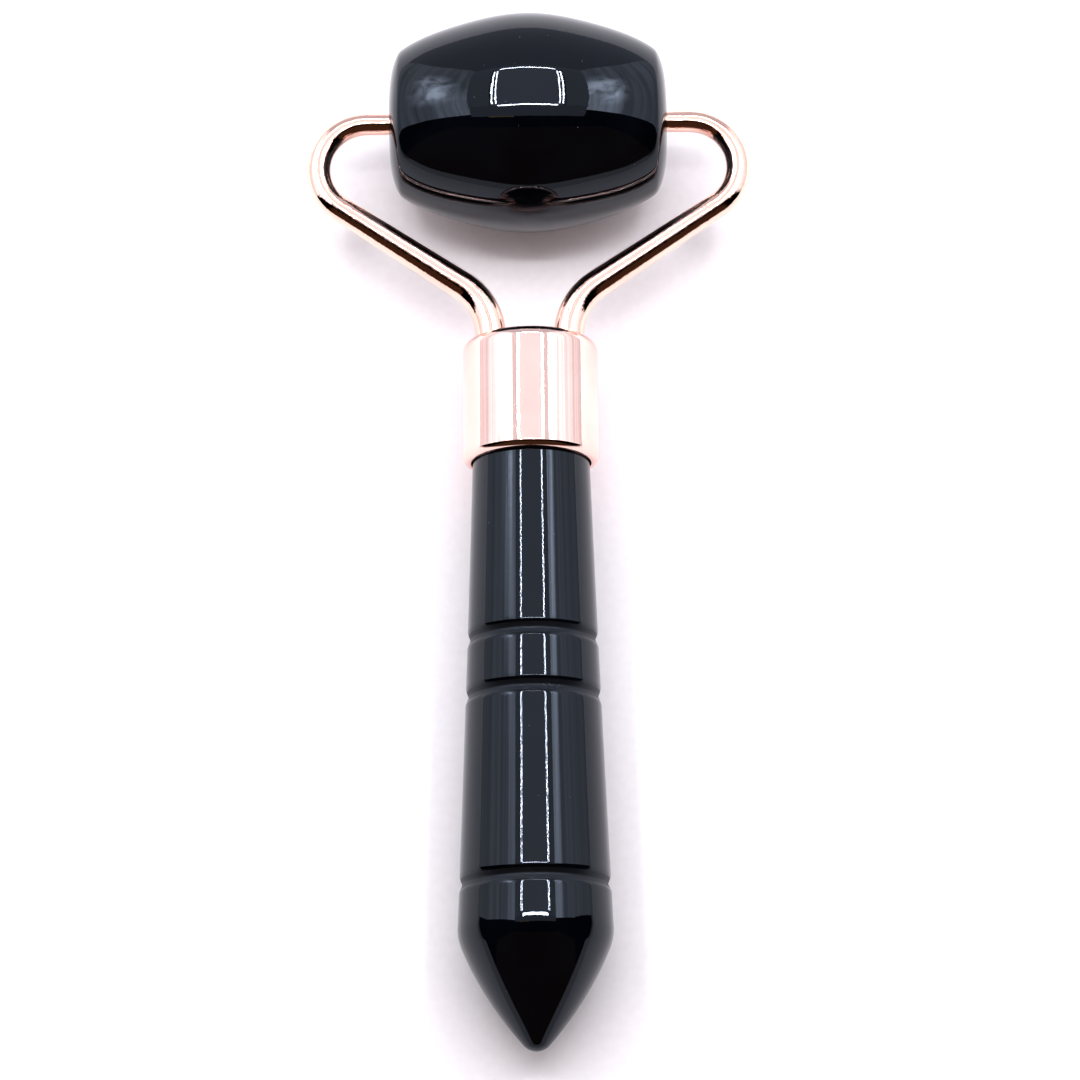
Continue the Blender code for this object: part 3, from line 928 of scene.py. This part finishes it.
def diode_row(name, along_x):
    """White light-emitting diodes: bright dots at an even spacing, on a lit strip."""
    material = glowing(name, "#fbfbff", strength=1.0)
    tree = material.node_tree
    place = add_node(tree, "ShaderNodeTexCoord").outputs["Object"]
    diode_spacing = 4.5 * MM
    wave_length_at_scale_one = np.pi / 10.0
    dots = add_node(
        tree,
        "ShaderNodeTexWave",
        {
            "bands_direction": "X" if along_x else "Y",
            "Scale": wave_length_at_scale_one / diode_spacing,
        },
        {"Vector": place},
    )
    dot_glow = add_node(
        tree,
        "ShaderNodeMapRange",
        {"From Min": 0.3, "From Max": 0.8, "To Min": 12.0, "To Max": 95.0},
        {"Value": dots.outputs["Fac"]},
    )
    tree.links.new(dot_glow.outputs["Result"], tree.nodes["Emission"].inputs["Strength"])
    return material


def add_strip(name, x, y, rows):
    """One light strip: rows of diodes for the reflections, and an area lamp under them for the floor.

    Each row is the strip's rectangle, moved across the strip by the row's offset.
    """
    length_x = x[1] - x[0]
    length_y = y[1] - y[0]
    along_x = length_x > length_y
    diodes = diode_row(name + "_diodes", along_x)
    for row_name, offset in rows.items():
        row_x = x if along_x else (x[0] + offset, x[1] + offset)
        row_y = (y[0] + offset, y[1] + offset) if along_x else y
        add_tent_part(name + row_name, rectangle(row_x, row_y, (STRIP_Z, STRIP_Z)), diodes)
    size = (length_x + 2 * STRIP_BORDER, length_y + 2 * STRIP_BORDER)
    middle = (sum(x) / 2, sum(y) / 2, STRIP_Z - 2 * ROOF_LAYER)
    add_lamp(name, size, middle, FACING_DOWN, STRIP_RADIANCE, "#ffffff")


single = {"_row": 0.0}
double = {"_inner_row": -ROW_OFFSET, "_outer_row": ROW_OFFSET}
for side_name, side in SIDES.items():
    row_middle = side * STRIP_SIDE
    row_x = (row_middle - ROW_WIDTH / 2, row_middle + ROW_WIDTH / 2)
    add_strip("strip_" + side_name, row_x, SIDE_STRIP_Y, double)
for end_name, row_middle in (("front", STRIP_FRONT), ("back", STRIP_BACK)):
    row_y = (row_middle - END_ROW_WIDTH / 2, row_middle + END_ROW_WIDTH / 2)
    add_strip("strip_" + end_name, END_STRIP_X, row_y, single)


# ---- Soft light from the cloth ---------------------------------------------------------------
# The roof, walls and back cloth scatter the strips' light on to the floor. A lamp just inside each
# of them does that, and a dim warm room light fills the shadows.

CLOTH_WHITE = "#fafaff"
LAMP_INSET = 10.0 * MM
LAMP_GAP = 4.0 * MM
LAMP_HEIGHT = TENT_HEIGHT - 2 * LAMP_INSET
LAMP_WIDTH = 2 * (TENT_SIDE - LAMP_INSET)
ROOF_LAMP_DEPTH = 400.0 * MM
ROOF_LAMP_Y = 150.0 * MM
WALL_LAMP_DEPTH = 310.0 * MM
WALL_LAMP_Y = 165.0 * MM
QUARTER_TURN = np.pi / 2

roof_size = (LAMP_WIDTH, ROOF_LAMP_DEPTH)
roof_place = (0.0, ROOF_LAMP_Y, TENT_HEIGHT - 6 * ROOF_LAYER)
add_lamp("roof_light", roof_size, roof_place, FACING_DOWN, radiance=1.42, colour=CLOTH_WHITE)
for side_name, side in SIDES.items():
    wall_size = (LAMP_HEIGHT, WALL_LAMP_DEPTH)
    wall_place = (side * (TENT_SIDE - LAMP_GAP), WALL_LAMP_Y, TENT_HEIGHT / 2)
    facing_in = (0.0, side * QUARTER_TURN, 0.0)
    add_lamp(side_name + "_light", wall_size, wall_place, facing_in, radiance=1.85, colour=CLOTH_WHITE)
back_size = (LAMP_WIDTH, LAMP_HEIGHT)
back_place = (0.0, TENT_BACK - LAMP_GAP, TENT_HEIGHT / 2)
facing_front = (-QUARTER_TURN, 0.0, 0.0)
add_lamp("back_light", back_size, back_place, facing_front, radiance=0.2, colour=CLOTH_WHITE)

world = bpy.data.worlds.new("room")
bpy.context.scene.world = world
world.use_nodes = True
room_light = world.node_tree.nodes["Background"]
room_light.inputs["Color"].default_value = linear("#f6e9e6")
room_light.inputs["Strength"].default_value = 0.4
world.cycles_visibility.glossy = False


# ---- Paper curl ------------------------------------------------------------------------------
# The floor paper's front edge curls up in front of the tool. Only the polished stone and the plating
# show it, as a pale band.

CURL_START = -118.0 * MM
CURL_RADIUS = 62.0 * MM
CURL_TURN = np.radians(48.0)
CURL_LIFT = 0.3 * MM
CURL_STEPS = 12


def paper_curl_grid():
    """Rows along the paper's edge on an arc of a circle: R sin goes forwards, and R (1 - cos) up."""
    turn = np.linspace(0.0, CURL_TURN, CURL_STEPS + 1)
    y = CURL_START - CURL_RADIUS * np.sin(turn)
    z = CURL_LIFT + CURL_RADIUS * (1.0 - np.cos(turn))
    left = np.stack([np.full(turn.size, -TENT_SIDE), y, z], 1)
    right = np.stack([np.full(turn.size, TENT_SIDE), y, z], 1)
    return np.stack([left, right], 1)


curled_paper = glowing("curled_paper", "#f2f1f6", strength=0.9)
add_tent_part("paper_curl", paper_curl_grid(), curled_paper)


# ---- Camera ----------------------------------------------------------------------------------
# It looks down on the tool from the point's side, from half a metre away with a long lens.

CAMERA_DISTANCE = 0.560
CAMERA_ELEVATION = np.radians(73.0)
CAMERA_ROLL = np.radians(-0.58)
CAMERA_TARGET = np.array([1.1 * MM, 0.9 * MM, 0.0])
FOCAL_LENGTH = 133.3
PICTURE_GAMMA = 0.8

backward = np.array([0.0, -np.cos(CAMERA_ELEVATION), np.sin(CAMERA_ELEVATION)])
level_up = np.cross(backward, across)
camera_right = np.cos(CAMERA_ROLL) * across + np.sin(CAMERA_ROLL) * level_up
camera_up = np.cross(backward, camera_right)
lens = bpy.data.cameras.new("camera")
lens.lens = FOCAL_LENGTH
camera = bpy.data.objects.new("camera", lens)
camera_turn = Matrix(np.stack([camera_right, camera_up, backward], 1).tolist()).to_4x4()
camera_place = Matrix.Translation(CAMERA_TARGET + CAMERA_DISTANCE * backward)
camera.matrix_world = camera_place @ camera_turn
bpy.context.scene.collection.objects.link(camera)
bpy.context.scene.camera = camera
bpy.context.scene.view_settings.view_transform = "Standard"
bpy.context.scene.view_settings.gamma = PICTURE_GAMMA
